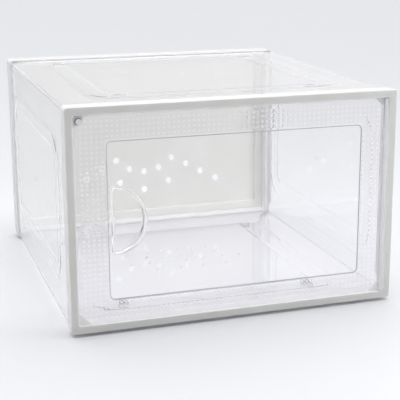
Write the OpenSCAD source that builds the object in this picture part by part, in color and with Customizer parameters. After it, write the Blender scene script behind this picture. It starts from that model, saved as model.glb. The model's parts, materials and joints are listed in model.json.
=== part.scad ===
// Stackable shoe box with a hinged front door.
// Two white frames carry four clear embossed panels; a clear door with a
// D-shaped grip hangs in the front frame and swings out to the right.
// +Z is up, the front faces -Y, and the origin is on the floor under the middle.

/* [Box] */
// Width over the frames
box_w = 310; // [280:1:380]
// Height of the frames, without the feet
box_h = 202; // [180:1:260]
// Depth from the front frame's face to the back
box_d = 340; // [310:1:420]
// Height of the frames above the floor
foot_lift = 3; // [2:0.5:4]

/* [Frames] */
// Width of a frame's face
frame_face = 7; // [7:0.5:10]
// Depth of the front frame
front_frame_d = 16; // [15:1:22]
// Depth of the back frame
back_frame_d = 24; // [22:1:30]
// Radius of a frame's outer corners
frame_r = 3; // [2:0.5:5]
// Width of the step round the inside of the back
back_step_w = 9; // [6:1:14]
// Height of that step above the back web
back_step_h = 5; // [3:0.5:6]
// Thickness of the back web
web_t = 2.5; // [2:0.5:3]
// Leg of the triangular gussets in the front frame's corners
gusset_leg = 14; // [12:1:18]
// Thickness of a gusset
gusset_t = 3; // [3:0.5:4]

/* [Clear panels] */
// Thickness of a clear panel
panel_t = 2; // [1.6:0.1:2.4]
// How far the panels lie inside the frames' outer faces
panel_inset = 1.5; // [1:0.1:1.8]
// How far a panel's edge goes into its frame
tongue = 6; // [5:0.5:7]
// Height of the raised band on each panel
band_h = 0.8; // [0.6:0.1:1.2]
// Width of the raised band on the side panels
band_w = 16; // [10:1:20]
// Width of the raised band on the top and bottom panels
lid_band_w = 20; // [14:1:22]
// Distance from a panel's long edges to its raised band
band_side = 33; // [28:1:40]
// Distance from the front face to the raised band
band_front = 44; // [36:1:56]
// Distance from the back face to the raised band
band_back = 36; // [32:1:50]
// Outer corner radius of the raised band
band_r = 26; // [23:1:30]

/* [Door] */
// Thickness of the door
door_t = 2.2; // [2:0.1:2.4]
// Gap round the door
door_gap = 0.7; // [0.5:0.1:1]
// How far the window starts inside the opening, at the sides
window_side = 28; // [24:1:34]
// How far the window starts below the opening's top
window_top = 23.5; // [20:0.5:30]
// How far the window starts above the opening's bottom
window_bottom = 21.5; // [20:0.5:30]
// Depth of the window below the door's front face
window_sink = 0.6; // [0.4:0.1:0.8]

/* [Grip] */
// Outer radius of the D-shaped grip
grip_r = 30.5; // [26:0.5:34]
// Thickness of the grip's wall
grip_t = 2.4; // [2:0.1:3]
// Height of the grip at its round side
grip_proud = 8; // [6:0.5:10]
// Height of the grip at its straight side
grip_low = 3; // [2:0.5:4]
// Distance from the window's left edge to the grip
grip_offset = 3.5; // [3:0.5:6]

/* [Hinge and catch] */
// Radius of a hinge pin
pin_r = 1.25; // [1:0.05:1.4]
// Length of a hinge pin
pin_len = 14; // [12:1:16]
// Radial clearance of a pin in the frame
pin_clearance = 0.05; // [0.03:0.01:0.1]
// Distance from the opening's right side to the hinge axis
hinge_inset = 3; // [3:0.1:3.6]
// Radius of the bead along the door's hinge edge
bead_r = 2.2; // [2.1:0.1:2.3]
// Radius of the catch magnet
magnet_r = 3; // [2.5:0.1:3.2]
// Thickness of the catch magnet
magnet_t = 2; // [1.5:0.1:2]

/* [Vents and stacking] */
// Diameter of a vent hole in the back
back_vent_d = 7; // [5:0.5:8]
// Diameter of a vent hole in the bottom
floor_vent_d = 4; // [3:0.5:6]
// Width of a stacking foot
foot_w = 9; // [8:1:12]

/* [Hidden] */
$fn = 48;
eps = 0.1;

// Local frame of the shells: Y = 0 on the front face, Z = 0 under the frames.
front_y = -(box_d - grip_proud) / 2;

// Panels: half width and levels of their outer and inner faces
skin_x = box_w / 2 - panel_inset;
core_x = skin_x - panel_t;
skin_top = box_h - panel_inset;
core_top = skin_top - panel_t;
skin_low = panel_inset;
core_low = skin_low + panel_t;
panel_front = front_frame_d - tongue;
panel_back = box_d - back_frame_d + tongue;
skin_r = 1.8;
fit_gap = 0.1;

// Snaps that hold the panels in the frames
snap_w = 13;
snap_l = 2;
snap_gap = 0.3;
front_snap_y = panel_front + tongue / 2 - snap_l / 2;
back_snap_y = panel_back - tongue / 2 - snap_l / 2;
snap_x = box_w / 4;
snap_z = box_h / 4;

// Door opening
open_x = box_w / 2 - frame_face;
open_low = frame_face;
open_top = box_h - frame_face;
door_setback = 0.2;
door_back_y = door_setback + door_t;
hinge_x = open_x - hinge_inset;
hinge_y = door_setback + bead_r;
stop_gap = 0.5;
stop_y = door_back_y + stop_gap;
brace_y = hinge_y + bead_r + stop_gap;
window_x = open_x - window_side;
window_low = open_low + window_bottom;
window_high = open_top - window_top;
window_r = 5;
grip_x = -window_x + grip_offset;
grip_z = box_h / 2;

// Hinge pins
pin_in_frame = 4;
pin_end_gap = 0.5;
pin_hole_r = pin_r + pin_clearance;
press_gap = 0.02;

// Catch, in the corner of the opening opposite the upper hinge
catch_x = -open_x + 5.5;
catch_z = open_top - 5.5;
striker_r = 2.5;
striker_t = 1.2;
pocket_gap = 0.05;

// Back
web_y = box_d - 7;

// Zigzag of vent holes in the back: [offset from the middle, height]
BACK_VENTS = [[18, 66], [34, 77], [52, 68], [70, 58], [89, 48], [30, 49]];
BACK_VENTS_MIDDLE = [62, 40];
// Rows of vent holes in the bottom: [offset from the middle, count, pitch]
FLOOR_VENTS = [[32, 5, 16], [15, 4, 25], [-4, 7, 20], [-26, 4, 25]];

// Stacking feet under the bottom panel and their sockets in the top panel
foot_front = [box_w / 2 - band_side - lid_band_w - 8, band_front + lid_band_w - 4];
foot_back = [box_w / 2 - band_side - lid_band_w + 6, box_d - band_back - lid_band_w - 6];
foot_r = 2;
socket_gap = 0.4;
socket_sink = 1.8;
socket_wall = 1.6;

frame_white = [0.93, 0.93, 0.92];
clear_plastic = [0.82, 0.9, 0.94, 0.35];
steel = [0.62, 0.63, 0.65];
magnet_dark = [0.25, 0.25, 0.27];

// Puts the shells' local frame into the part's frame.
module place() {
    translate([0, front_y, foot_lift]) children();
}

// A flat outline with rounded corners between two opposite corners.
module round_rect(lo, hi, r) {
    translate([lo.x + r, lo.y]) square([hi.x - lo.x - 2 * r, hi.y - lo.y]);
    translate([lo.x, lo.y + r]) square([hi.x - lo.x, hi.y - lo.y - 2 * r]);
    for (x = [lo.x + r, hi.x - r], y = [lo.y + r, hi.y - r]) translate([x, y]) circle(r);
}

// Extrudes an outline drawn in X and Z backwards from y0.
module along_y(y0, depth) {
    translate([0, y0 + depth, 0]) rotate([90, 0, 0]) linear_extrude(depth) children();
}

module frame_outline() {
    round_rect([-box_w / 2, 0], [box_w / 2, box_h], frame_r);
}

module opening_outline() {
    translate([-open_x, open_low]) square([2 * open_x, open_top - open_low]);
}

// The channel that takes the panels' edges, less the teeth of the snaps.
module panel_channel(y0, depth, tooth_y) {
    difference() {
        along_y(y0, depth) difference() {
            round_rect([-skin_x - fit_gap, skin_low - fit_gap],
                       [skin_x + fit_gap, skin_top + fit_gap], skin_r);
            translate([-core_x + fit_gap, core_low + fit_gap])
                square([2 * (core_x - fit_gap), core_top - core_low - 2 * fit_gap]);
        }
        snaps(tooth_y, 0);
    }
}

// The snaps' blocks: two on each side of the box, at one depth.
module snaps(y0, gap) {
    for (x = [-snap_x, snap_x], z = [skin_low + panel_t / 2, skin_top - panel_t / 2])
        snap_block([x, y0 + snap_l / 2, z], [snap_w, snap_l, panel_t + 1], gap);
    for (x = [-skin_x + panel_t / 2, skin_x - panel_t / 2], z = [snap_z, box_h - snap_z])
        snap_block([x, y0 + snap_l / 2, z], [panel_t + 1, snap_l, snap_w], gap);
}

module snap_block(middle, size, gap) {
    translate(middle) cube(size + 2 * gap * [1, 1, 1], center = true);
}

// A triangular gusset in a corner of the opening; sx and sz point into the box.
module gusset(corner, sx, sz, y0) {
    along_y(y0, gusset_t) polygon([corner - [sx, sz], corner + [sx * gusset_leg, -sz],
                                   corner + [sx * gusset_leg, 0], corner + [0, sz * gusset_leg],
                                   corner + [-sx, sz * gusset_leg]]);
}

module front_frame() {
    color(frame_white) place() difference() {
        union() {
            along_y(0, front_frame_d) difference() {
                frame_outline();
                opening_outline();
            }
            gusset([-open_x, open_low], 1, 1, stop_y);
            gusset([-open_x, open_top], 1, -1, stop_y);
            gusset([open_x, open_low], -1, 1, brace_y);
            gusset([open_x, open_top], -1, -1, brace_y);
        }
        panel_channel(panel_front, tongue + eps, front_snap_y);
        for (z = [open_low - pin_in_frame - pin_end_gap, open_top - eps])
            translate([hinge_x, hinge_y, z]) cylinder(r = pin_hole_r, h = pin_in_frame + pin_end_gap + eps);
        along_y(stop_y - eps, magnet_t + eps) translate([catch_x, catch_z]) circle(magnet_r + pocket_gap);
    }
}

// Outlines inside the back frame, shrunk by an amount.
module back_inside(shrink) {
    translate([-open_x + shrink, open_low + shrink])
        square([2 * (open_x - shrink), open_top - open_low - 2 * shrink]);
}

module back_panel() {
    ring_y = box_d - back_frame_d;
    step_y = web_y - back_step_h;
    color(frame_white) place() difference() {
        union() {
            along_y(ring_y, back_frame_d) difference() {
                frame_outline();
                back_inside(0);
            }
            along_y(step_y, web_t) difference() {
                back_inside(-eps);
                back_inside(back_step_w);
            }
            along_y(step_y, back_step_h + web_t) difference() {
                back_inside(back_step_w - web_t);
                back_inside(back_step_w);
            }
            along_y(web_y, web_t) back_inside(back_step_w - eps);
        }
        panel_channel(ring_y - eps, tongue + eps, back_snap_y);
        back_vents();
    }
}

module back_vents() {
    for (vent = BACK_VENTS, side = [-1, 1]) back_vent(side * vent.x, vent.y);
    for (height = BACK_VENTS_MIDDLE) back_vent(0, height);
}

module back_vent(x, z) {
    along_y(web_y - eps, web_t + 2 * eps) translate([x, z]) circle(d = back_vent_d);
}

// A raised band of width w as a flat ring, drawn narrower by a margin on both sides.
module band(lo, hi, w, margin) {
    difference() {
        round_rect(lo + [margin, margin], hi - [margin, margin], band_r - margin);
        round_rect(lo + [1, 1] * (w - margin), hi - [1, 1] * (w - margin), band_r - w + margin);
    }
}

// Raises a band of width w outwards on a sheet whose inner face is at z = 0.
module embossed(band_lo, band_hi, w) {
    difference() {
        union() {
            children();
            linear_extrude(panel_t + band_h) band(band_lo, band_hi, w, 0);
        }
        translate([0, 0, -eps]) linear_extrude(band_h + eps) band(band_lo, band_hi, w, band_h);
    }
}

// Top or bottom sheet, with its outer face up and its long edges rounded.
module lid_sheet() {
    embossed([-box_w / 2 + band_side, band_front], [box_w / 2 - band_side, box_d - band_back], lid_band_w)
        along_y(panel_front + fit_gap, panel_back - panel_front - 2 * fit_gap) intersection() {
            round_rect([-skin_x, -skin_x], [skin_x, panel_t], skin_r);
            translate([-skin_x, 0]) square([2 * skin_x, panel_t]);
        }
}

// Places a square pad at the four stacking points.
module at_feet() {
    for (foot = [foot_front, foot_back], side = [-1, 1]) translate([side * foot.x, foot.y, 0]) children();
}

module foot_outline(grow) {
    side = foot_w / 2 + grow;
    round_rect([-side, -side], [side, side], foot_r);
}

module top_panel() {
    color(clear_plastic) place() difference() {
        union() {
            translate([0, 0, core_top]) lid_sheet();
            at_feet() translate([0, 0, skin_top - socket_sink - socket_wall])
                linear_extrude(socket_sink + socket_wall - eps) foot_outline(socket_gap + socket_wall);
        }
        at_feet() translate([0, 0, skin_top - socket_sink]) linear_extrude(socket_sink + band_h + eps)
            foot_outline(socket_gap);
        snaps(front_snap_y, snap_gap);
        snaps(back_snap_y, snap_gap);
    }
}

module bottom_panel() {
    color(clear_plastic) place() difference() {
        union() {
            translate([0, 0, core_low]) mirror([0, 0, 1]) lid_sheet();
            at_feet() translate([0, 0, -foot_lift])
                linear_extrude(foot_lift + skin_low + eps) foot_outline(0);
        }
        floor_vents();
        snaps(front_snap_y, snap_gap);
        snaps(back_snap_y, snap_gap);
    }
}

module floor_vents() {
    for (row = FLOOR_VENTS, i = [0 : row[1] - 1])
        translate([(i - (row[1] - 1) / 2) * row[2], box_d / 2 + row[0], -eps])
            cylinder(d = floor_vent_d, h = core_low + 2 * eps);
}

module side_panel() {
    lo = [panel_front + fit_gap, core_low + fit_gap];
    hi = [panel_back - fit_gap, core_top - fit_gap];
    translate([core_x, 0, 0]) rotate([90, 0, 90])
        embossed([band_front, band_side], [box_d - band_back, box_h - band_side], band_w)
            linear_extrude(panel_t) translate(lo) square(hi - lo);
}

module right_panel() {
    color(clear_plastic) place() difference() {
        side_panel();
        snaps(front_snap_y, snap_gap);
        snaps(back_snap_y, snap_gap);
    }
}

module left_panel() {
    color(clear_plastic) place() difference() {
        mirror([1, 0, 0]) side_panel();
        snaps(front_snap_y, snap_gap);
        snaps(back_snap_y, snap_gap);
    }
}

// The outline of the grip: a D with its straight side to the left.
module grip_outline(shrink) {
    intersection() {
        translate([grip_x, grip_z]) circle(grip_r - shrink);
        translate([grip_x + shrink, grip_z - grip_r]) square([grip_r, 2 * grip_r]);
    }
}

// The grip's wall, cut to slope from its round side down to its straight side.
module grip() {
    slope = atan((grip_proud - grip_low) / grip_r);
    difference() {
        along_y(-grip_proud, grip_proud + door_setback + window_sink + eps) difference() {
            grip_outline(0);
            grip_outline(grip_t);
        }
        translate([grip_x + grip_r, -grip_proud, grip_z]) rotate([0, 0, -slope])
            translate([-2 * grip_r, -grip_proud, -2 * grip_r]) cube([2 * grip_r, grip_proud, 4 * grip_r]);
    }
}

module door() {
    low = open_low + door_gap;
    high = open_top - door_gap;
    color(clear_plastic) place() difference() {
        union() {
            difference() {
                along_y(door_setback, door_t) translate([-open_x + door_gap, low])
                    square([hinge_x + open_x - door_gap, high - low]);
                along_y(0, door_setback + window_sink)
                    round_rect([-window_x, window_low], [window_x, window_high], window_r);
            }
            translate([hinge_x, hinge_y, low]) cylinder(r = bead_r, h = high - low);
            grip();
        }
        for (z = [low - eps, high - pin_len + pin_in_frame])
            translate([hinge_x, hinge_y, z])
                cylinder(r = pin_r + press_gap, h = pin_len - pin_in_frame + eps);
        along_y(door_back_y - striker_t, striker_t + eps) translate([catch_x, catch_z])
            circle(striker_r + pocket_gap);
    }
}

module hinge_pin(z) {
    color(clear_plastic) place() translate([hinge_x, hinge_y, z]) cylinder(r = pin_r, h = pin_len);
}

module upper_hinge_pin() {
    hinge_pin(open_top + pin_in_frame - pin_len);
}

module lower_hinge_pin() {
    hinge_pin(open_low - pin_in_frame);
}

module frame_magnet() {
    color(magnet_dark) place() along_y(stop_y, magnet_t) translate([catch_x, catch_z]) circle(magnet_r);
}

module door_striker() {
    color(steel) place() along_y(door_back_y - striker_t, striker_t) translate([catch_x, catch_z])
        circle(striker_r);
}

front_frame();
back_panel();
top_panel();
bottom_panel();
left_panel();
right_panel();
door();
upper_hinge_pin();
lower_hinge_pin();
frame_magnet();
door_striker();
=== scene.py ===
"""Looks of the clear stackable shoe box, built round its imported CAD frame.

The shells are built in millimetres in the part's own frame: +Z is up, the door
faces -Y and hangs on the +X side. Each shell is a closed mesh made of rings of
points, and takes its place from the CAD node that it replaces.
"""
import json
import math

import bmesh
import bpy
from mathutils import Matrix, Vector


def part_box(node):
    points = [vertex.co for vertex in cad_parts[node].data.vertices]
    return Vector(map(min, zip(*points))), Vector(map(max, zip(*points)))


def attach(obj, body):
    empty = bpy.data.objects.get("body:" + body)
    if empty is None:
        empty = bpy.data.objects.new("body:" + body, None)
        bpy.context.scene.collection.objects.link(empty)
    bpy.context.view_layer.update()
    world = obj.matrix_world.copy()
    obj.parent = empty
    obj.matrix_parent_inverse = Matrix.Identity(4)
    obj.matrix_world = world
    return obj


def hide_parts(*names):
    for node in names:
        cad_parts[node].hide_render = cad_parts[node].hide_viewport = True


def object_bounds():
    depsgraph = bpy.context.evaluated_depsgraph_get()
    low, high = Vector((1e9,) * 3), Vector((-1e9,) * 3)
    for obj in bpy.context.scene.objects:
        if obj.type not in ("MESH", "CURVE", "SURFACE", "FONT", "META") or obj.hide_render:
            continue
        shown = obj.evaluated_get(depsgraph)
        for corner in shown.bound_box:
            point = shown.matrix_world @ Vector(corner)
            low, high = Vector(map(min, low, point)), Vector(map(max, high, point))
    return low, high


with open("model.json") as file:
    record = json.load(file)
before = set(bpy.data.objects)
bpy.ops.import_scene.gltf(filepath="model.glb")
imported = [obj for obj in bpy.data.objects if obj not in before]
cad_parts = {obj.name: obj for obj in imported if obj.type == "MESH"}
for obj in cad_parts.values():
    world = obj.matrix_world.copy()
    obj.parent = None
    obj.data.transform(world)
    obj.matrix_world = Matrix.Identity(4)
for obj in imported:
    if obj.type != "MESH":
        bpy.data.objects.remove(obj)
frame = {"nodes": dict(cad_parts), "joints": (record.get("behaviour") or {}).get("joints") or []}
cad_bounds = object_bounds()

MM = 0.001
CORNER_STEPS = 8
FILLET_STEPS = 4
ROUND_STEPS = 28
LEAST_R = 0.4
SHARP_ANGLE = math.radians(32)
# How far a solid that is added or cut out reaches past the surface that it meets.
OVERLAP = 1


# ---------------------------------------------------------------- outlines

def node_box(node):
    """Lowest and highest corner of a CAD node, in millimetres."""
    lo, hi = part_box(node)
    return lo / MM, hi / MM


def arc(centre, radius, start, end, steps):
    """Points along a circular arc, with its angles in degrees."""
    points = []
    for i in range(steps + 1):
        angle = math.radians(start + (end - start) * i / steps)
        points.append(Vector((centre[0] + radius * math.cos(angle), centre[1] + radius * math.sin(angle))))
    return points


def circle(centre, radius, steps=ROUND_STEPS):
    return arc(centre, radius, 0, 360, steps)[:-1]


def disc_outline(node, gap):
    """Outline of a round node that faces the viewer, grown by gap."""
    lo, hi = node_box(node)
    return circle(((lo.x + hi.x) / 2, (lo.z + hi.z) / 2), (hi.x - lo.x) / 2 + gap)


def rounded_rect(lo, hi, radius):
    """A rectangle with rounded corners; every such outline has the same count of points."""
    corners = ((hi[0] - radius, lo[1] + radius, -90), (hi[0] - radius, hi[1] - radius, 0),
               (lo[0] + radius, hi[1] - radius, 90), (lo[0] + radius, lo[1] + radius, 180))
    points = []
    for u, v, start in corners:
        points += arc((u, v), radius, start, start + 90, CORNER_STEPS)
    return points


def inset_rect(lo, hi, radius, inset, least=LEAST_R):
    """The same rectangle moved inwards by inset, with its corners kept concentric."""
    step = Vector((inset, inset))
    return rounded_rect(Vector(lo) + step, Vector(hi) - step, max(radius - inset, least))


def filleted(corners, closed=True):
    """A path through (u, v, radius) corners, with each corner rounded to its radius."""
    path = []
    count = len(corners)
    for i, (u, v, radius) in enumerate(corners):
        here = Vector((u, v))
        if radius == 0 or (not closed and i in (0, count - 1)):
            path.append(here)
            continue
        before = (Vector(corners[i - 1][:2]) - here).normalized()
        after = (Vector(corners[(i + 1) % count][:2]) - here).normalized()
        half = before.angle(after) / 2
        centre = here + (before + after).normalized() * radius / math.sin(half)
        first = here + before * radius / math.tan(half) - centre
        turn = first.angle_signed(here + after * radius / math.tan(half) - centre)
        for k in range(FILLET_STEPS + 1):
            spoke = first.copy()
            spoke.rotate(Matrix.Rotation(-turn * k / FILLET_STEPS, 2))
            path.append(centre + spoke)
    return path


# ---------------------------------------------------------------- meshes

def add_ring(mesh, points):
    return [mesh.verts.new(point) for point in points]


def skin(mesh, rings, closed=False):
    """Joins rings of the same count with quads."""
    pairs = list(zip(rings, rings[1:]))
    if closed:
        pairs.append((rings[-1], rings[0]))
    for a, b in pairs:
        for i in range(len(a)):
            j = (i + 1) % len(a)
            mesh.faces.new((a[i], a[j], b[j], b[i]))


def cap(mesh, outline, holes=()):
    """Closes a flat outline, leaving its holes open."""
    if not holes:
        mesh.faces.new(outline)
        return
    edges = []
    for ring in [outline, *holes]:
        for i, vert in enumerate(ring):
            after = ring[(i + 1) % len(ring)]
            edges.append(mesh.edges.get((vert, after)) or mesh.edges.new((vert, after)))
    bmesh.ops.triangle_fill(mesh, edges=edges, use_beauty=True)


def finished(name, mesh):
    """Turns a mesh in millimetres into an object in metres."""
    bmesh.ops.recalc_face_normals(mesh, faces=mesh.faces)
    data = bpy.data.meshes.new(name)
    mesh.to_mesh(data)
    mesh.free()
    data.transform(Matrix.Scale(MM, 4))
    piece = bpy.data.objects.new(name, data)
    bpy.context.scene.collection.objects.link(piece)
    return piece


def settle(piece):
    """Applies the piece's modifiers to its mesh."""
    graph = bpy.context.evaluated_depsgraph_get()
    data = bpy.data.meshes.new_from_object(piece.evaluated_get(graph))
    piece.modifiers.clear()
    old = piece.data
    piece.data = data
    bpy.data.meshes.remove(old)
    data.name = piece.name


def combine(piece, operation, tools):
    """Adds solids to the piece or cuts them out of it."""
    for tool in tools:
        modifier = piece.modifiers.new("combine", "BOOLEAN")
        modifier.operation = operation
        modifier.solver = "EXACT"
        modifier.object = tool
    settle(piece)
    for tool in tools:
        bpy.data.meshes.remove(tool.data)


def smooth(piece):
    """Smooth shading that keeps flat faces flat and true edges crisp."""
    piece.data.polygons.foreach_set("use_smooth", [True] * len(piece.data.polygons))
    piece.data.set_sharp_from_angle(angle=SHARP_ANGLE)
    modifier = piece.modifiers.new("weighted normals", "WEIGHTED_NORMAL")
    modifier.keep_sharp = True
    modifier.weight = 100
    settle(piece)


def prism(outlines_at, place):
    """A closed solid through outlines at several levels."""
    mesh = bmesh.new()
    rings = [add_ring(mesh, [place(point, level) for point in outline]) for outline, level in outlines_at]
    skin(mesh, rings)
    cap(mesh, rings[0])
    cap(mesh, rings[-1])
    return finished("tool", mesh)


def on_front(point, y):
    """Places an outline drawn in X and Z at a depth."""
    return Vector((point[0], y, point[1]))


def on_floor(point, z):
    """Places an outline drawn in X and Y at a height."""
    return Vector((point[0], point[1], z))


# ---------------------------------------------------------------- frames

FRAME_FACE = 7.0
FRAME_R = 3.4
FRAME_EDGE = 0.7
FRAME_LEAST_R = 1.2
OPENING_R = 2.0
OPENING_EDGE = 0.45
LIP_EDGE = 0.3
CHANNEL_EDGE = 0.25
PANEL_T = 2.0
PANEL_INSET = 1.5
CHANNEL_GAP = 0.1
TONGUE = 6.0
# Width of each sheet's milky ends: unpolished plastic, widened to paint light over the shade of the
# channels and of the floor under the frames.
MILKY_END_WIDTH = 15.0
FOOT_LIFT = node_box("front_frame")[0].z

front_lo, front_hi = node_box("front_frame")
back_lo, back_hi = node_box("back_panel")
frame_lo = (front_lo.x, front_lo.z)
frame_hi = (front_hi.x, front_hi.z)
opening_lo = Vector(frame_lo) + Vector((FRAME_FACE, FRAME_FACE))
opening_hi = Vector(frame_hi) - Vector((FRAME_FACE, FRAME_FACE))


def frame_ring(inset):
    """The frames' outline moved inwards, with the opening's own corner radius inside."""
    least = OPENING_R if inset > FRAME_FACE / 2 else FRAME_LEAST_R
    return inset_rect(frame_lo, frame_hi, FRAME_R, inset, least)


def channel(y_mouth, y_root):
    """Profile of the channel that takes the panels' edges, from its outer lip inwards."""
    outer = PANEL_INSET - CHANNEL_GAP
    inner = PANEL_INSET + PANEL_T + CHANNEL_GAP
    return [(outer, y_mouth, CHANNEL_EDGE), (outer, y_root, 0),
            (inner, y_root, 0), (inner, y_mouth, CHANNEL_EDGE)]


GUSSET_LEG = 14.0
GUSSET_T = 3.0
GUSSET_EDGE = 0.5
GUSSET_BREAK = 0.15
GUSSET_TIP = 0.08
# Moving the slanted side inwards shortens both legs by about this many times as much.
SLANT = 1.4


def gusset(corner, sx, sz, y0):
    """A triangular web in a corner of the opening; sx and sz point into the box."""
    def outline(edge):
        reach = GUSSET_LEG - edge * SLANT
        tip = GUSSET_LEG * GUSSET_TIP
        points = [(-OVERLAP, -OVERLAP), (reach - tip, -OVERLAP), (reach - tip, 0.0), (reach - 2 * tip, tip),
                  (tip, reach - 2 * tip), (0.0, reach - tip), (-OVERLAP, reach - tip)]
        return [Vector((corner[0] + sx * u, corner[1] + sz * v)) for u, v in points]
    levels = [(outline(GUSSET_EDGE), y0), (outline(GUSSET_BREAK), y0 + GUSSET_BREAK),
              (outline(0), y0 + GUSSET_EDGE), (outline(0), y0 + GUSSET_T - GUSSET_EDGE),
              (outline(GUSSET_EDGE), y0 + GUSSET_T)]
    return prism(levels, on_front)


STOP_Y = 2.9
BRACE_Y = 5.1
PIN_GAP = 0.05
PIN_END_GAP = 0.5
POCKET_GAP = 0.05


def build_front_frame():
    mesh = bmesh.new()
    y0, y1 = front_lo.y, front_hi.y
    profile = filleted([(0, y0, FRAME_EDGE), (0, y1, LIP_EDGE), *channel(y1, y1 - TONGUE),
                        (FRAME_FACE, y1, LIP_EDGE), (FRAME_FACE, y0, OPENING_EDGE)])
    rings = [add_ring(mesh, [on_front(p, y) for p in frame_ring(inset)]) for inset, y in profile]
    skin(mesh, rings, closed=True)
    piece = finished("front_frame_moulding", mesh)

    left, low = opening_lo
    right, high = opening_hi
    corners = [((left, low), 1, 1, STOP_Y), ((left, high), 1, -1, STOP_Y),
               ((right, low), -1, 1, BRACE_Y), ((right, high), -1, -1, BRACE_Y)]
    combine(piece, "UNION", [gusset(corner, sx, sz, y0 + depth) for corner, sx, sz, depth in corners])

    holes = []
    for pin, end in (("upper_hinge_pin", 1), ("lower_hinge_pin", -1)):
        lo, hi = node_box(pin)
        middle = (lo + hi) / 2
        outline = circle(middle.xy, (hi.x - lo.x) / 2 + PIN_GAP)
        tip = hi.z + PIN_END_GAP if end > 0 else lo.z - PIN_END_GAP
        holes.append(prism([(outline, middle.z), (outline, tip)], on_floor))
    lo, hi = node_box("frame_magnet")
    outline = disc_outline("frame_magnet", POCKET_GAP)
    holes.append(prism([(outline, lo.y - OVERLAP), (outline, hi.y + POCKET_GAP)], on_front))
    combine(piece, "DIFFERENCE", holes)
    return piece


BACK_STEP_W = 9.0
BACK_STEP_H = 5.0
BACK_STEP_FILLET = 0.8
BACK_STEP_EDGE = 0.7
BACK_REAR_FILLET = 0.6
BACK_REAR_EDGE = 0.5
WEB_T = 2.5
WEB_BACK = 4.5
WEB_MARGIN = 3
STEP_R = 3.0
BACK_VENT_R = 3.5
VENT_EDGE = 0.35
BACK_VENTS = [(18, 66), (34, 77), (52, 68), (70, 58), (89, 48), (30, 49)]
BACK_VENTS_MIDDLE = [62, 40]


def back_ring(inset):
    """The back's outlines; those of the step and the web have rounder corners."""
    if inset > FRAME_FACE + BACK_REAR_EDGE:
        return inset_rect(frame_lo, frame_hi, FRAME_R, inset, STEP_R)
    return frame_ring(inset)


def build_back():
    mesh = bmesh.new()
    y0, y1 = back_lo.y, back_hi.y
    web_y1 = y1 - WEB_BACK
    web_y0 = web_y1 - WEB_T
    step_y0 = web_y0 - BACK_STEP_H
    step_y1 = step_y0 + WEB_T
    step_in = FRAME_FACE + BACK_STEP_W
    step_out = step_in - WEB_T
    front = [(step_in + WEB_MARGIN, web_y0, 0), (step_in, web_y0, BACK_STEP_FILLET),
             (step_in, step_y0, BACK_STEP_EDGE), (FRAME_FACE, step_y0, BACK_STEP_FILLET)]
    rim = [(FRAME_FACE, y0, LIP_EDGE), *reversed(channel(y0, y0 + TONGUE)), (0, y0, LIP_EDGE),
           (0, y1, FRAME_EDGE), (FRAME_FACE, y1, BACK_REAR_EDGE)]
    rear = [(FRAME_FACE, step_y1, BACK_REAR_EDGE), (step_out, step_y1, BACK_REAR_FILLET),
            (step_out, web_y1, BACK_REAR_FILLET), (step_out + WEB_MARGIN, web_y1, 0)]
    profile = filleted([*front, *rim, *rear], closed=False)
    rings = [add_ring(mesh, [on_front(p, y) for p in back_ring(inset)]) for inset, y in profile]
    skin(mesh, rings)

    spots = [(side * x, z) for x, z in BACK_VENTS for side in (-1, 1)]
    spots += [(0, z) for z in BACK_VENTS_MIDDLE]
    mouths, exits = [], []
    for x, z in spots:
        centre = (x, z + FOOT_LIFT)
        levels = [(BACK_VENT_R + VENT_EDGE, web_y0), (BACK_VENT_R, web_y0 + VENT_EDGE),
                  (BACK_VENT_R, web_y1 - VENT_EDGE), (BACK_VENT_R + VENT_EDGE, web_y1)]
        wall = [add_ring(mesh, [on_front(p, y) for p in circle(centre, r)]) for r, y in levels]
        skin(mesh, wall)
        mouths.append(wall[0])
        exits.append(wall[-1])
    cap(mesh, rings[0], mouths)
    cap(mesh, rings[-1], exits)
    return finished("back_moulding", mesh)


# ---------------------------------------------------------------- clear panels

SHEET_CORNER_R = 1.2
SHEET_EDGE = 1.2
SHEET_BREAK = 0.3
BAND_H = 0.8
BAND_W = 16.0
LID_BAND_W = 20.0
BAND_R = 26.0
BAND_SIDE = 33.0
BAND_FRONT = 44.0
BAND_BACK = 36.0
BAND_SLOPE = 4.4
LID_BAND_SLOPE = 5.0
BAND_FILLET = 8.0
LID_BAND_FILLET = 9.0
BAND_MARGIN = 2
GATE_SINK = 0.35
# Radius and depth of each ring of a gate's pit.
GATE_RINGS = [(2.0, 0), (1.85, 0.1), (1.5, GATE_SINK), (0.7, GATE_SINK), (0.45, 0.12)]
FLOOR_VENT_R = 2.0
# Growth of the radius at each height above the sheet's inner face.
FLOOR_VENT_RINGS = [(-0.4, PANEL_T), (-0.5, 1.6), (0, 0.25), (0.3, 0)]
# Place along the depth, count and pitch of each row.
FLOOR_VENTS = [(32, 5, 16), (15, 4, 25), (-4, 7, 20), (-26, 4, 25)]
FOOT_W = 9.0
FOOT_R = 2.0
FOOT_EDGE = 0.5
FRONT_FOOT_SHIFT = (-8, -4)
BACK_FOOT_SHIFT = (6, -6)
# Feet and the bosses under sockets start inside the sheet, this far above its inner face.
ROOT_W = 1.4
SOCKET_GAP = 0.4
SOCKET_SINK = 1.8
SOCKET_WALL = 1.6
SOCKET_EDGE = 0.4
SOCKET_FLARE = 1.6
SOCKET_MOUTH = 0.5


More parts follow.
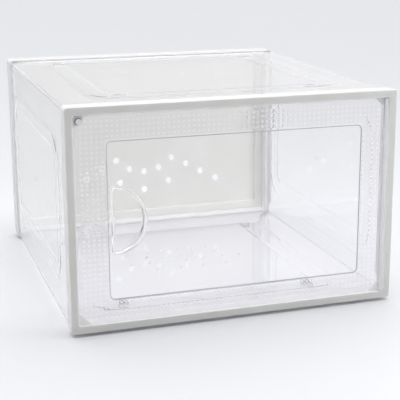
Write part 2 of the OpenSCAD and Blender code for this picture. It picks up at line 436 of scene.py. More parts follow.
def sheet_rings(mesh, edge_lo, edge_hi, band_lo, band_hi, band_w, slope, fillet, place):
    """Rings of an embossed sheet, from its outer face round its edge to its inner face."""
    half = slope / 2
    shift = PANEL_T * math.tan(math.atan2(BAND_H, slope) / 2)

    def band_profile(level, near, far):
        return filleted([(far + half + BAND_MARGIN, level, 0), (far + half, level, fillet),
                         (far - half, level + BAND_H, fillet), (near + half, level + BAND_H, fillet),
                         (near - half, level, fillet), (near - half - BAND_MARGIN, level, 0)], closed=False)

    def edge_profile():
        return filleted([(MILKY_END_WIDTH, PANEL_T, 0), (0, PANEL_T, SHEET_EDGE), (0, 0, SHEET_BREAK),
                         (MILKY_END_WIDTH, 0, 0)], closed=False)
    rings = []
    for inset, w in band_profile(PANEL_T, 0, band_w):
        rings.append((inset_rect(band_lo, band_hi, BAND_R, inset), w))
    for inset, w in edge_profile():
        rings.append((inset_rect(edge_lo, edge_hi, SHEET_CORNER_R, inset), w))
    for inset, w in reversed(band_profile(0, shift, band_w - shift)):
        rings.append((inset_rect(band_lo, band_hi, BAND_R, inset), w))
    rings = [add_ring(mesh, [place(point, w) for point in outline]) for outline, w in rings]
    skin(mesh, rings)
    return rings


def add_gate(mesh, lo, hi, place):
    """Adds the small pit that the mould's gate leaves in the middle of a sheet; returns its rim."""
    middle = (Vector(lo) + Vector(hi)) / 2
    rings = []
    for radius, depth in GATE_RINGS:
        rings.append(add_ring(mesh, [place(point, PANEL_T - depth) for point in circle(middle, radius)]))
    skin(mesh, rings)
    cap(mesh, rings[-1])
    return rings[0]


def y_of(depth):
    """A depth behind the front face, in the part's frame."""
    return front_lo.y + depth


panel_y0 = y_of(0) + (front_hi.y - front_lo.y) - TONGUE + CHANNEL_GAP
panel_y1 = back_lo.y + TONGUE - CHANNEL_GAP
band_y0 = front_lo.y + BAND_FRONT
band_y1 = back_hi.y - BAND_BACK


def build_side(node, side):
    """A side panel; side is +1 on the right and -1 on the left."""
    lo, hi = node_box(node)
    core_x = front_hi.x - PANEL_INSET - PANEL_T
    mesh = bmesh.new()

    def place(point, w):
        return Vector((side * (core_x + w), point[0], point[1]))
    band_lo, band_hi = (band_y0, front_lo.z + BAND_SIDE), (band_y1, front_hi.z - BAND_SIDE)
    rings = sheet_rings(mesh, (panel_y0, lo.z), (panel_y1, hi.z), band_lo, band_hi,
                        BAND_W, BAND_SLOPE, BAND_FILLET, place)
    cap(mesh, rings[0], [add_gate(mesh, band_lo, band_hi, place)])
    cap(mesh, rings[-1])
    return finished(node + "_sheet", mesh)


def foot_spots():
    """Middles of the four feet and sockets, near the corners of the band's inner outline."""
    inner_x = front_hi.x - BAND_SIDE - LID_BAND_W
    near = (inner_x + FRONT_FOOT_SHIFT[0], band_y0 + LID_BAND_W + FRONT_FOOT_SHIFT[1])
    far = (inner_x + BACK_FOOT_SHIFT[0], band_y1 - LID_BAND_W + BACK_FOOT_SHIFT[1])
    return [Vector((side * x, y)) for side in (-1, 1) for x, y in (near, far)]


def foot_outline(spot, grow):
    half = Vector((FOOT_W / 2 + grow, FOOT_W / 2 + grow))
    return rounded_rect(spot - half, spot + half, FOOT_R)


def lid(name, place, tunnels=()):
    """A top or bottom sheet; tunnels are lists of (outline, w) levels that go right through it."""
    mesh = bmesh.new()
    skin_x = front_hi.x - PANEL_INSET
    band_lo = (front_lo.x + BAND_SIDE, band_y0)
    band_hi = (front_hi.x - BAND_SIDE, band_y1)
    rings = sheet_rings(mesh, (-skin_x, panel_y0), (skin_x, panel_y1), band_lo, band_hi,
                        LID_BAND_W, LID_BAND_SLOPE, LID_BAND_FILLET, place)
    outer_holes = [add_gate(mesh, band_lo, band_hi, place)]
    inner_holes = []
    for levels in tunnels:
        wall = [add_ring(mesh, [place(point, w) for point in outline]) for outline, w in levels]
        skin(mesh, wall)
        outer_holes.append(wall[0])
        inner_holes.append(wall[-1])
    cap(mesh, rings[0], outer_holes)
    cap(mesh, rings[-1], inner_holes)
    return finished(name, mesh)


def build_top():
    """The top sheet, with a boss and a stacking socket over each foot."""
    core_z = front_hi.z - PANEL_INSET - PANEL_T

    def place(point, w):
        return on_floor(point, core_z + w)
    piece = lid("top_sheet", place)
    floor_w = PANEL_T - SOCKET_SINK
    under_w = floor_w - SOCKET_WALL
    mouth_w = PANEL_T + BAND_H + SOCKET_MOUTH
    boss = SOCKET_GAP + SOCKET_WALL
    bosses, sockets = [], []
    for spot in foot_spots():
        bosses.append(prism([(foot_outline(spot, boss), ROOT_W),
                             (foot_outline(spot, boss), under_w + SOCKET_EDGE),
                             (foot_outline(spot, boss - SOCKET_EDGE), under_w)], place))
        sockets.append(prism([(foot_outline(spot, SOCKET_GAP + SOCKET_FLARE), mouth_w),
                              (foot_outline(spot, SOCKET_GAP), floor_w + SOCKET_EDGE),
                              (foot_outline(spot, SOCKET_GAP - SOCKET_EDGE), floor_w)], place))
    combine(piece, "UNION", bosses)
    combine(piece, "DIFFERENCE", sockets)
    return piece


def build_bottom():
    """The bottom sheet, with its vents and feet."""
    core_z = front_lo.z + PANEL_INSET + PANEL_T

    def place(point, w):
        return on_floor(point, core_z - w)
    vents = []
    middle_y = y_of((back_hi.y - front_lo.y) / 2)
    for row_y, count, pitch in FLOOR_VENTS:
        for i in range(count):
            centre = ((i - (count - 1) / 2) * pitch, middle_y + row_y)
            vents.append([(circle(centre, FLOOR_VENT_R + growth), w) for growth, w in FLOOR_VENT_RINGS])
    piece = lid("bottom_sheet", place, vents)
    feet = [prism([(foot_outline(spot, 0), ROOT_W), (foot_outline(spot, 0), core_z - FOOT_EDGE),
                   (foot_outline(spot, -FOOT_EDGE), core_z)], place) for spot in foot_spots()]
    combine(piece, "UNION", feet)
    return piece


# ---------------------------------------------------------------- door

DOOR_T = 2.2
DOOR_SET_BACK = 0.2
DOOR_R = 1.8
DOOR_EDGE = 0.4
DOOR_EDGE_MARGIN = 2
DOOR_BORDER_MARGIN = 1.2
BEAD_R = 2.2
BEAD_EDGE = 0.4
BEAD_BREAK = 0.12
BEAD_STEPS = 36
BEAD_COVER = 0.1
PIN_FIT = 0.02
WINDOW_SIDE = 28.0
WINDOW_TOP = 23.5
WINDOW_BOTTOM = 21.5
WINDOW_R = 5.0
WINDOW_SINK = 0.6
WINDOW_FLANK = 0.85
WINDOW_FILLET = 0.4
WINDOW_REACH = (-1.5, 2.0)
DOT_PITCH = 4.55
DOT_R = 1.25
DOT_H = 0.24
# Share of the radius and of the height of each ring of a dot.
DOT_RINGS = ((1.0, 0), (0.62, 0.72), (0.3, 0.97))
CELL_STEPS = 3
DOT_SIDES = 4 * CELL_STEPS
DOT_START = -135
DOT_COLUMNS = (5, 4)
DOT_ROWS = (4, 4)
DOT_EDGE_LEFT = 3.7
DOT_EDGE_RIGHT = 5.6
DOT_EDGE_LOW = 1.9
DOT_EDGE_HIGH = 3.1
GRIP_R = 30.5
GRIP_T = 2.4
GRIP_PROUD = 8.0
GRIP_LOW = 3.0
GRIP_OFFSET = 3.5
GRIP_CORNER_R = 2.4
GRIP_LEAST_R = 0.5
GRIP_STEPS = 48
GRIP_CORNER_STEPS = 6
GRIP_ROOT = 0.7
GRIP_RIM_R = 0.8
GRIP_RIM_DEPTH = 3
# Share of the root's reach and of its height half-way up its flare.
GRIP_FLARE = (0.35, 0.25)

door_lo, door_hi = node_box("door")
hinge = next(j for j in frame["joints"] if j["name"] == "door_hinge")["pos_m"]
hinge_x, hinge_y = hinge[0] / MM, hinge[1] / MM
door_y0 = front_lo.y + DOOR_SET_BACK
door_y1 = door_y0 + DOOR_T
window_lo = Vector((opening_lo.x + WINDOW_SIDE, opening_lo.y + WINDOW_BOTTOM))
window_hi = Vector((opening_hi.x - WINDOW_SIDE, opening_hi.y - WINDOW_TOP))


def d_outline(shrink):
    """The grip's outline: a half disc with rounded corners, its straight side to the left."""
    radius = GRIP_R - shrink
    corner_r = max(GRIP_CORNER_R - shrink, GRIP_LEAST_R)
    corner_x = shrink + corner_r
    corner_z = math.sqrt((radius - corner_r) ** 2 - corner_x ** 2)
    lean = math.degrees(math.atan2(corner_z, corner_x))
    points = arc((corner_x, -corner_z), corner_r, -180, -lean, GRIP_CORNER_STEPS)
    points += arc((0, 0), radius, -lean, lean, GRIP_STEPS)[1:-1]
    points += arc((corner_x, corner_z), corner_r, lean, 180, GRIP_CORNER_STEPS)
    centre = Vector((window_lo.x + GRIP_OFFSET, (frame_lo[1] + frame_hi[1]) / 2))
    return [centre + point for point in points]


def grip_rim_y(x):
    """Depth of the grip's rim: low at its straight side and proud at its round side."""
    share = (x - window_lo.x - GRIP_OFFSET) / GRIP_R
    return front_lo.y - GRIP_LOW - (GRIP_PROUD - GRIP_LOW) * share


def add_grip(mesh, floor_y):
    """Adds the grip's wall to the window; returns the outline that it stands on."""
    def sunk(shrink, depth):
        return add_ring(mesh, [on_front(p, grip_rim_y(p.x) + depth) for p in d_outline(shrink)])

    def standing(shrink, height):
        return add_ring(mesh, [on_front(p, floor_y - height) for p in d_outline(shrink)])
    flare, rise = (share * GRIP_ROOT for share in GRIP_FLARE)
    rim = filleted([(0, GRIP_RIM_DEPTH, 0), (0, 0, GRIP_RIM_R), (GRIP_T, 0, GRIP_RIM_R),
                    (GRIP_T, GRIP_RIM_DEPTH, 0)], closed=False)[1:-1]
    rings = [standing(-GRIP_ROOT, 0), standing(-flare, rise), standing(0, GRIP_ROOT)]
    rings += [sunk(shrink, depth) for shrink, depth in rim]
    rings += [standing(GRIP_T, GRIP_ROOT), standing(GRIP_T + flare, rise), standing(GRIP_T + GRIP_ROOT, 0)]
    skin(mesh, rings)
    cap(mesh, rings[-1])
    return rings[0]


def dot_lattice():
    """Lowest corner, highest corner and cell counts of the dotted border's lattice."""
    lo = Vector((door_lo.x + DOT_EDGE_LEFT, door_lo.z + DOT_EDGE_LOW))
    hi = Vector((hinge_x - DOT_EDGE_RIGHT, door_hi.z - DOT_EDGE_HIGH))
    columns = round((hi.x - lo.x) / DOT_PITCH)
    rows = round((hi.y - lo.y) / DOT_PITCH)
    return lo, hi, columns, rows


def add_dots(mesh, y):
    """Adds the dotted border at a depth; returns its outer and inner outlines."""
    lo, hi, columns, rows = dot_lattice()
    size = Vector(((hi.x - lo.x) / columns, (hi.y - lo.y) / rows))
    verts = {}

    def vert(i, j):
        if (i, j) not in verts:
            point = (lo.x + size.x * i / CELL_STEPS, lo.y + size.y * j / CELL_STEPS)
            verts[i, j] = mesh.verts.new(on_front(point, y))
        return verts[i, j]

    def outline(i0, i1, j0, j1):
        steps = [(i, j0) for i in range(i0, i1)] + [(i1, j) for j in range(j0, j1)]
        steps += [(i, j1) for i in range(i1, i0, -1)] + [(i0, j) for j in range(j1, j0, -1)]
        return steps
    inside_x = range(DOT_COLUMNS[0], columns - DOT_COLUMNS[1])
    inside_z = range(DOT_ROWS[0], rows - DOT_ROWS[1])
    for column in range(columns):
        for row in range(rows):
            if column in inside_x and row in inside_z:
                continue
            i, j = column * CELL_STEPS, row * CELL_STEPS
            cell = [vert(*key) for key in outline(i, i + CELL_STEPS, j, j + CELL_STEPS)]
            centre = (lo.x + size.x * (column + 0.5), lo.y + size.y * (row + 0.5))
            rings = [cell]
            for share, height in DOT_RINGS:
                ring = arc(centre, DOT_R * share, DOT_START, DOT_START + 360, DOT_SIDES)[:-1]
                rings.append(add_ring(mesh, [on_front(p, y + DOT_H * height) for p in ring]))
            skin(mesh, rings)
            cap(mesh, rings[-1])
    outer = [vert(*key) for key in outline(0, columns * CELL_STEPS, 0, rows * CELL_STEPS)]
    inner = [vert(*key) for key in outline(inside_x.start * CELL_STEPS, inside_x.stop * CELL_STEPS,
                                           inside_z.start * CELL_STEPS, inside_z.stop * CELL_STEPS)]
    return outer, inner


def door_bead():
    """The round bead along the hinge side, which holds the pins."""
    ends = ((BEAD_R - BEAD_EDGE, 0), (BEAD_R - BEAD_BREAK, BEAD_BREAK), (BEAD_R, BEAD_EDGE))
    levels = [(radius, door_lo.z + rise) for radius, rise in ends]
    levels += [(radius, door_hi.z - rise) for radius, rise in reversed(ends)]
    return prism([(circle((hinge_x, hinge_y), radius, BEAD_STEPS), z) for radius, z in levels], on_floor)


def build_door():
    mesh = bmesh.new()
    lo, hi = (door_lo.x, door_lo.z), (hinge_x - BEAD_COVER, door_hi.z)
    window_y = door_y0 + WINDOW_SINK
    step = filleted([(WINDOW_REACH[0], door_y0, 0), (0, door_y0, WINDOW_FILLET),
                     (WINDOW_FLANK, window_y, WINDOW_FILLET), (WINDOW_REACH[1], window_y, 0)], closed=False)
    rim = filleted([(DOOR_EDGE_MARGIN, door_y0, 0), (0, door_y0, DOOR_EDGE), (0, door_y1, DOOR_EDGE),
                    (DOOR_BORDER_MARGIN, door_y1, 0)], closed=False)
    rings = [(inset_rect(window_lo, window_hi, WINDOW_R, inset), y) for inset, y in reversed(step)]
    rings += [(inset_rect(lo, hi, DOOR_R, inset), y) for inset, y in rim]
    rings = [add_ring(mesh, [on_front(p, y) for p in outline]) for outline, y in rings]
    skin(mesh, rings)
    cap(mesh, rings[0], [add_grip(mesh, window_y)])
    outer, inner = add_dots(mesh, door_y1)
    cap(mesh, rings[-1], [outer])
    cap(mesh, inner)
    piece = finished("door_moulding", mesh)

    combine(piece, "UNION", [door_bead()])

    seats = []
    for pin, far in (("upper_hinge_pin", 1), ("lower_hinge_pin", -1)):
        pin_lo, pin_hi = node_box(pin)
        outline = circle((hinge_x, hinge_y), (pin_hi.x - pin_lo.x) / 2 + PIN_FIT, BEAD_STEPS)
        start = pin_lo.z if far > 0 else pin_hi.z
        end = door_hi.z + OVERLAP if far > 0 else door_lo.z - OVERLAP
        seats.append(prism([(outline, start), (outline, end)], on_floor))
    disc_lo, disc_hi = node_box("door_striker")
    outline = disc_outline("door_striker", POCKET_GAP)
    seats.append(prism([(outline, disc_lo.y), (outline, disc_hi.y + OVERLAP)], on_front))
    combine(piece, "DIFFERENCE", seats)
    return piece


# ---------------------------------------------------------------- materials

# A noise texture's values lie mostly between these two.
NOISE_LOW = 0.3
NOISE_HIGH = 0.7


class Shader:
    """A node material with a Principled shader, and short calls to build its texture."""

    def __init__(self, name):
        self.material = bpy.data.materials.new(name)
        self.material.use_nodes = True
        self.nodes = self.material.node_tree.nodes
        self.links = self.material.node_tree.links
        self.surface = self.nodes["Principled BSDF"]
        self.output = self.nodes["Material Output"]
        self.place = self.nodes.new("ShaderNodeTexCoord").outputs["Object"]

    def set(self, **values):
        for key, value in values.items():
            self.surface.inputs[key.replace("_", " ")].default_value = value

    def noise(self, scale, detail=3.0):
        """Noise with this many cells per metre."""
        node = self.nodes.new("ShaderNodeTexNoise")
        node.inputs["Scale"].default_value = scale
        node.inputs["Detail"].default_value = detail
        self.links.new(self.place, node.inputs["Vector"])
        return node.outputs["Fac"]

    def spread(self, value, low, high):
        """Maps a noise onto the numbers from low to high."""
        node = self.nodes.new("ShaderNodeMapRange")
        self.links.new(value, node.inputs["Value"])
        ends = (("From Min", NOISE_LOW), ("From Max", NOISE_HIGH), ("To Min", low), ("To Max", high))
        for key, number in ends:
            node.inputs[key].default_value = number
        return node.outputs["Result"]

    def tone(self, value, dark, light):
        """Maps a noise onto the colours from dark to light."""
        node = self.nodes.new("ShaderNodeValToRGB")
        stops = ((NOISE_LOW, dark), (NOISE_HIGH, light))
        for element, (position, colour) in zip(node.color_ramp.elements, stops):
            element.position = position
            element.color = (*colour, 1)
        self.links.new(value, node.inputs["Fac"])
        return node.outputs["Color"]

    def feed(self, socket, value):
        self.links.new(value, self.surface.inputs[socket])

    def bump(self, layers):
        """Stacks (height, strength, distance) layers into the shader's normal."""
        normal = None
        for height, strength, distance in layers:
            node = self.nodes.new("ShaderNodeBump")
            node.inputs["Strength"].default_value = strength
            node.inputs["Distance"].default_value = distance
            self.links.new(height, node.inputs["Height"])
            if normal:
                self.links.new(normal, node.inputs["Normal"])
            normal = node.outputs["Normal"]
        self.feed("Normal", normal)

    def pass_shadows(self, tint):
        """Lets lamps shine through: shadow rays meet a transparent shader of this tint."""
        clear = self.nodes.new("ShaderNodeBsdfTransparent")
        clear.inputs["Color"].default_value = tint
        mix = self.nodes.new("ShaderNodeMixShader")
        path = self.nodes.new("ShaderNodeLightPath")
        self.links.new(path.outputs["Is Shadow Ray"], mix.inputs["Fac"])
        self.links.new(self.surface.outputs["BSDF"], mix.inputs[1])
        self.links.new(clear.outputs["BSDF"], mix.inputs[2])
        self.links.new(mix.outputs["Shader"], self.output.inputs["Surface"])


PLASTIC_IOR = 1.49
CLEAR_SHADOW = (0.99, 0.99, 0.992, 1)
SATIN_SHADOW = (0.95, 0.95, 0.955, 1)
WHITE_WARMTH = Vector((1.0, 0.995, 0.975))
WHITE_MOTTLE = Vector((0.035, 0.035, 0.04))
SATIN_MOTTLE = 0.95


def white_plastic(name, glow, lightness):
    """Satin white moulding: fine grain, a warm shade, and light that seeps glow metres deep."""
    shader = Shader(name)
    shader.set(IOR=PLASTIC_IOR, Specular_IOR_Level=0.45, Subsurface_Weight=1.0,
               Subsurface_Radius=(1.0, 1.0, 0.95), Subsurface_Scale=glow)
    warm = WHITE_WARMTH * lightness
    shader.feed("Base Color", shader.tone(shader.noise(45, 4), warm - WHITE_MOTTLE, warm))
    shader.feed("Roughness", shader.spread(shader.noise(420, 2), 0.36, 0.5))
    shader.bump([(shader.noise(18, 1), 0.25, 0.0004), (shader.noise(2600, 2), 0.2, 0.00006)])
    return shader.material


def clear_plastic(name, tint):
    """Clear moulding: polished, with flow waviness and handling haze."""
    shader = Shader(name)
    shader.set(Base_Color=tint, IOR=PLASTIC_IOR, Transmission_Weight=1.0)
    shader.feed("Roughness", shader.spread(shader.noise(60, 4), 0.0, 0.045))
    shader.bump([(shader.noise(22, 1.5), 0.12, 0.0004)])
    shader.pass_shadows(CLEAR_SHADOW)
    return shader.material


def milky_painted_tone(name, shade):
    """The same clear plastic made milky, with a fine matt grain, where the mould is unpolished. Its shade
    is set per use: it paints light on the sheets' edges and back margin, and shade on the window's step.
    """
    shader = Shader(name)
    shader.set(IOR=PLASTIC_IOR, Transmission_Weight=0.25)
    darker = [SATIN_MOTTLE * level for level in shade]
    shader.feed("Base Color", shader.tone(shader.noise(160, 3), darker, shade))
    shader.feed("Roughness", shader.spread(shader.noise(500, 2), 0.42, 0.58))
    shader.bump([(shader.noise(3200, 2), 0.3, 0.00004)])
    shader.pass_shadows(SATIN_SHADOW)
    return shader.material


def steel():
    """Bright plated steel with a fine grain."""
    shader = Shader("plated_steel")
    shader.set(Metallic=1.0)
    shader.feed("Base Color", shader.tone(shader.noise(900), (0.66, 0.66, 0.67), (0.78, 0.78, 0.79)))
    shader.feed("Roughness", shader.spread(shader.noise(1500), 0.08, 0.16))
    shader.bump([(shader.noise(3000), 0.2, 0.00003)])
    return shader.material


def magnet_plating():
    """Dark plating with small scuffs."""
    shader = Shader("dark_plating")
    shader.set(Metallic=1.0)
    shader.feed("Base Color", shader.tone(shader.noise(700), (0.2, 0.2, 0.22), (0.3, 0.3, 0.32)))
    shader.feed("Roughness", shader.spread(shader.noise(1200), 0.28, 0.5))
    shader.bump([(shader.noise(2500), 0.25, 0.00004)])
    return shader.material


# ---------------------------------------------------------------- studio
# Places and sizes in this section are in metres.

CAMERA_AZIMUTH = math.radians(18.748)
CAMERA_ELEVATION = math.radians(14.592)
CAMERA_DISTANCE = 1.1126
CAMERA_LENS = 96.2
CAMERA_AIM = Vector((0.0321, -0.0179, -0.0242))
CAMERA_SHIFT = (-0.0488, -0.0122)
SENSOR_WIDTH = 36
NEAR_CLIP = 0.01


def build_camera():
    """A camera at the photo's viewing angle."""
    lo, hi = cad_bounds
    middle = (Vector(lo) + Vector(hi)) / 2
    data = bpy.data.cameras.new("photo_camera")
    data.sensor_width = SENSOR_WIDTH
    data.lens = CAMERA_LENS
    data.shift_x, data.shift_y = CAMERA_SHIFT
    data.clip_start = NEAR_CLIP
    camera = bpy.data.objects.new("photo_camera", data)
    bpy.context.scene.collection.objects.link(camera)
    ahead = Vector((math.sin(CAMERA_AZIMUTH) * math.cos(CAMERA_ELEVATION),
                    math.cos(CAMERA_AZIMUTH) * math.cos(CAMERA_ELEVATION), -math.sin(CAMERA_ELEVATION)))
    camera.location = middle + CAMERA_AIM - ahead * CAMERA_DISTANCE
    camera.rotation_euler = ahead.to_track_quat("-Z", "Y").to_euler()
    bpy.context.scene.camera = camera


FLOOR_SIZE = 16.0
FLOOR_SHADES = ((0.78, 0.788, 0.808), (0.79, 0.798, 0.818))


def build_floor():
    """A wide pale floor, which is also the backdrop."""
    mesh = bmesh.new()
    bmesh.ops.create_grid(mesh, x_segments=4, y_segments=4, size=FLOOR_SIZE / 2 / MM)
    floor = finished("studio_floor", mesh)
    shader = Shader("pale_floor")
    shader.set(Roughness=0.7, Specular_IOR_Level=0.2)
    shader.feed("Base Color", shader.tone(shader.noise(1.2, 2), *FLOOR_SHADES))
    shader.bump([(shader.noise(900, 2), 0.05, 0.0002)])
    floor.data.materials.append(shader.material)


SKY_UP = 1.7
SKY_BEHIND = 0.95
SKY_FRONT_LEFT = 0.0
SKY_FRONT_RIGHT = 0.05
SKY_TILT = math.radians(8)
# Cosines between which the sky turns from one strength to the next.
SKY_SIDE_BLEND = (-0.5, 0.5)
SKY_DEPTH_BLEND = (-0.6, 0.3)
SKY_HEIGHT_BLEND = (0.55, 0.95)
SKY_TINT = (0.985, 0.99, 1.0, 1)


def build_sky():
    """A soft studio dome: bright overhead, even behind the box and dim on the viewer's side."""
    world = bpy.data.worlds.new("studio_dome")
    bpy.context.scene.world = world
    world.use_nodes = True
    nodes, links = world.node_tree.nodes, world.node_tree.links
    place = nodes.new("ShaderNodeTexCoord").outputs["Generated"]

    def along(direction):
        node = nodes.new("ShaderNodeVectorMath")
        node.operation = "DOT_PRODUCT"
        node.inputs[1].default_value = direction
        links.new(place, node.inputs[0])
        return node.outputs["Value"]

    def blend(value, ends, low, high):
        node = nodes.new("ShaderNodeMapRange")
        node.interpolation_type = "SMOOTHSTEP"
        node.inputs["From Min"].default_value = ends[0]
        node.inputs["From Max"].default_value = ends[1]
        links.new(value, node.inputs["Value"])
        for key, level in (("To Min", low), ("To Max", high)):
            if isinstance(level, float):
                node.inputs[key].default_value = level
            else:
                links.new(level, node.inputs[key])
        return node.outputs["Result"]
    front = blend(along((1, 0, 0)), SKY_SIDE_BLEND, SKY_FRONT_LEFT, SKY_FRONT_RIGHT)
    low = blend(along((0, 1, 0)), SKY_DEPTH_BLEND, front, SKY_BEHIND)
    overhead = (0, math.sin(SKY_TILT), math.cos(SKY_TILT))
    level = blend(along(overhead), SKY_HEIGHT_BLEND, low, SKY_UP)
    background = nodes["Background"]
    background.inputs["Color"].default_value = SKY_TINT
    links.new(level, background.inputs["Strength"])


# Name, place, aim, size and power in watts of each lamp.
SOFTBOXES = [("overhead_softbox", (0.0, -0.3, 1.5), (0, -0.15, 0.1), (0.9, 0.6), 4.6),
             ("right_front_fill", (0.55, -0.45, 0.25), (0.15, -0.17, 0.1), (0.3, 0.3), 0.75)]


def add_softbox(name, place, aim, size, power):
    data = bpy.data.lights.new(name, "AREA")
    data.shape = "RECTANGLE"
    data.size, data.size_y = size
    data.energy = power
    lamp = bpy.data.objects.new(name, data)
    bpy.context.scene.collection.objects.link(lamp)
    lamp.location = place
    lamp.rotation_euler = (Vector(aim) - Vector(place)).to_track_quat("-Z", "Y").to_euler()


# ---------------------------------------------------------------- assembly

# Cosines: a face that leans further than this from its sheet's axis counts as an edge.
STEEP = 0.8
SHEET_STEEP = 0.96
WINDOW_STEEP = 0.93
# Distances, in millimetres, that make a face part of a zone.
SAME_PLANE = 0.02
NEAR_WINDOW = 0.2
NEAR_OPENING = 0.1
NEAR_LIP = 0.5
GRIP_MARGIN = 2
GRIP_SIDE_MARGIN = 3

# How deep light seeps into each white material, in metres, and how light its plastic is; the gussets' and
# the back lip's lighter copies are painted light on faces that lie in shade.
FRAME_GLOW = 0.002
FRAME_LIGHTNESS = 0.835
# Gussets and the opening's flanks: lighter and more translucent, painted light where the bars shade them.
GUSSET_GLOW = 0.012
GUSSET_PAINTED_LIGHT = 0.96
BACK_GLOW = 0.0052
BACK_LIGHTNESS = 0.805
# The back's front rim: a lighter copy of the white, painted light where the dim front leaves it in shade.
LIP_GLOW = 0.006
LIP_PAINTED_LIGHT = 0.97
CLEAR_TINT = (0.982, 0.979, 0.988, 1)
# Ground between the door's dots: darker painted shade, so the dots read lighter like the glints their domes
# catch.
BORDER_PAINTED_SHADE = (0.87, 0.864, 0.88, 1)
# Satin edges: a milky finish, lightened to paint the light that clear edges carry.
EDGE_SHADE = (0.94, 0.935, 0.95)
# The window's step: dark painted shade for the line that refraction draws round the window.
STEP_PAINTED_SHADE = (0.5, 0.49, 0.54)
# Back margin of the bottom sheet: painted light over the shadow under the back frame.
MARGIN_PAINTED_LIGHT_TONE = (0.86, 0.857, 0.87)


def dress(piece, body, nodes, slot, pick, *materials):
    """Shades a piece, puts it under its body and hides the nodes that it replaces; pick says which material
    a face takes. The slot is not used.
    """
    smooth(piece)
    piece.data.materials.clear()
    for material in materials:
        piece.data.materials.append(material)
    for face in piece.data.polygons:
        face.material_index = pick(face)
    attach(piece, body)
    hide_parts(*nodes)


def coat(node, material):
    """Gives a kept CAD node its material."""
    data = frame["nodes"][node].data
    data.materials.clear()
    data.materials.append(material)


# Places of the materials in the lists of the clear pieces.
CLEAR, SATIN_PAINTED_LIGHT, PAINTED_LIGHT_MARGIN = range(3)
STEP, PAINTED_SHADE_GROUND = 2, 3


def edge_of_sheet(axis, least_z=0):
    """Picks the satin material for a sheet's steep faces and for its ends, next to the frames. The satin is
    unpolished plastic, lightened to paint the light that clear edges carry; the ends reach further in to
    paint light over the shade of the channels and of the floor under the frames.
    """
    def pick(face):
        _, y, z = face.center / MM
        at_end = not panel_y0 + MILKY_END_WIDTH < y < panel_y1 - MILKY_END_WIDTH
        steep = abs(face.normal[axis]) < SHEET_STEEP and z > least_z
        return SATIN_PAINTED_LIGHT if at_end or steep else CLEAR
    return pick


def edge_of_bottom(face):
    """Picks a greyer satin for everything behind the band's flat middle: painted light over the shadow
    under the back frame, seen through the sheet; the feet stay clear.
    """
    _, y, z = face.center / MM
    if y > band_y1 - LID_BAND_W - LID_BAND_SLOPE and z > front_lo.z:
        return PAINTED_LIGHT_MARGIN
    return edge_of_sheet(2, front_lo.z + PANEL_INSET)(face)


def edge_of_door(face):
    """Picks satin for the door's edge and bead, lightened as painted light, and paints shade on the
    window's step and on the dots' ground.
    """
    x, y, z = face.center / MM
    grip_z = (frame_lo[1] + frame_hi[1]) / 2
    grip_end = GRIP_OFFSET + GRIP_R + GRIP_SIDE_MARGIN
    if GRIP_MARGIN < x - window_lo.x < grip_end and abs(z - grip_z) < GRIP_R + GRIP_MARGIN:
        return CLEAR
    if x > hinge_x - BEAD_R:
        return SATIN_PAINTED_LIGHT
    in_width = window_lo.x - NEAR_WINDOW < x < window_hi.x + NEAR_WINDOW
    if in_width and window_lo.y - NEAR_WINDOW < z < window_hi.y + NEAR_WINDOW:
        # The window's step takes the dark painted shade.
        return STEP if abs(face.normal.y) < WINDOW_STEEP else CLEAR
    if abs(face.normal.y) < STEEP:
        return SATIN_PAINTED_LIGHT
    # The flat ground between the dots takes the darker painted shade.
    return PAINTED_SHADE_GROUND if abs(y - door_y1) < SAME_PLANE else CLEAR


def in_opening(face):
    """Picks the front frame's gussets and the flanks of its opening, which take a lighter copy of the
    white: painted light where the frame's bars shade them.
    """
    x, _, z = face.center / MM
    in_width = opening_lo.x - NEAR_OPENING < x < opening_hi.x + NEAR_OPENING
    return int(in_width and opening_lo.y - NEAR_OPENING < z < opening_hi.y + NEAR_OPENING)


def on_lip(face):
    """Picks the front end of the back's rim, which holds the panels; it takes a lighter copy of the white,
    painted light on faces that the dim front leaves in shade.
    """
    return int(face.center.y / MM < back_lo.y + TONGUE + NEAR_LIP)


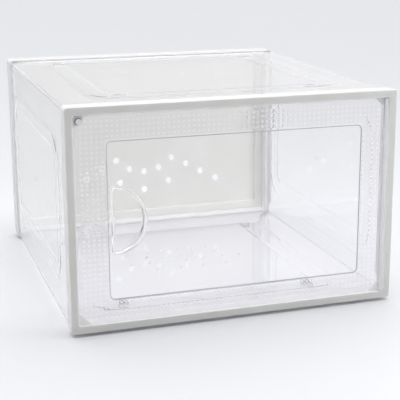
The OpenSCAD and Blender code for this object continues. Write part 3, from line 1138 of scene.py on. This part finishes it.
def dress_frames():
    """The white pieces; thin mouldings let more light through than thick ones. The gussets and the back's
    front rim take lighter copies: painted light on faces in shade.
    """
    thick = white_plastic("satin_white_thick", FRAME_GLOW, FRAME_LIGHTNESS)
    gusset_painted_light = white_plastic("satin_white_gusset_painted_light", GUSSET_GLOW, GUSSET_PAINTED_LIGHT)
    thin = white_plastic("satin_white_thin", BACK_GLOW, BACK_LIGHTNESS)
    lip_painted_light = white_plastic("satin_white_lip_painted_light", LIP_GLOW, LIP_PAINTED_LIGHT)
    dress(build_front_frame(), "shell", ["front_frame"], "white_plastic", in_opening,
          thick, gusset_painted_light)
    dress(build_back(), "shell", ["back_panel"], "white_plastic", on_lip, thin, lip_painted_light)


def dress_clear_pieces():
    """The four sheets, the door and its pins."""
    clear = clear_plastic("clear_moulded_plastic", CLEAR_TINT)
    # Painted shade on the ground between the door's dots.
    painted_shade_ground = clear_plastic("clear_dot_ground_painted_shade", BORDER_PAINTED_SHADE)
    # Milky satin for edges and ends, partly painted light.
    satin_painted_light = milky_painted_tone("satin_clear_edge_painted_light", EDGE_SHADE)
    # Dark painted shade round the door's window.
    step = milky_painted_tone("clear_step_painted_shade", STEP_PAINTED_SHADE)
    # Painted light over the shadow under the back frame.
    painted_light_margin = milky_painted_tone("clear_margin_painted_light", MARGIN_PAINTED_LIGHT_TONE)
    dress(build_top(), "shell", ["top_panel"], "clear_plastic", edge_of_sheet(2), clear, satin_painted_light)
    dress(build_bottom(), "shell", ["bottom_panel"], "clear_plastic", edge_of_bottom,
          clear, satin_painted_light, painted_light_margin)
    for node, side in (("left_panel", -1), ("right_panel", 1)):
        dress(build_side(node, side), "shell", [node], "clear_plastic", edge_of_sheet(0),
              clear, satin_painted_light)
    dress(build_door(), "door", ["door"], "clear_plastic", edge_of_door, clear, satin_painted_light, step, painted_shade_ground)
    for node in ("upper_hinge_pin", "lower_hinge_pin"):
        coat(node, clear)


def build_box():
    dress_frames()
    dress_clear_pieces()
    coat("door_striker", steel())
    coat("frame_magnet", magnet_plating())


build_camera()
build_floor()
build_sky()
for softbox in SOFTBOXES:
    add_softbox(*softbox)
build_box()

# Light runs a long way inside a clear sheet before it comes out at an edge.
LIGHT_BOUNCES = 64
DIFFUSE_BOUNCES = 16
SHADOW_LAYERS = 32
scene = bpy.context.scene
scene.view_settings.view_transform = "Standard"
scene.cycles.max_bounces = LIGHT_BOUNCES
scene.cycles.transmission_bounces = LIGHT_BOUNCES
scene.cycles.glossy_bounces = LIGHT_BOUNCES
scene.cycles.diffuse_bounces = DIFFUSE_BOUNCES
scene.cycles.transparent_max_bounces = SHADOW_LAYERS
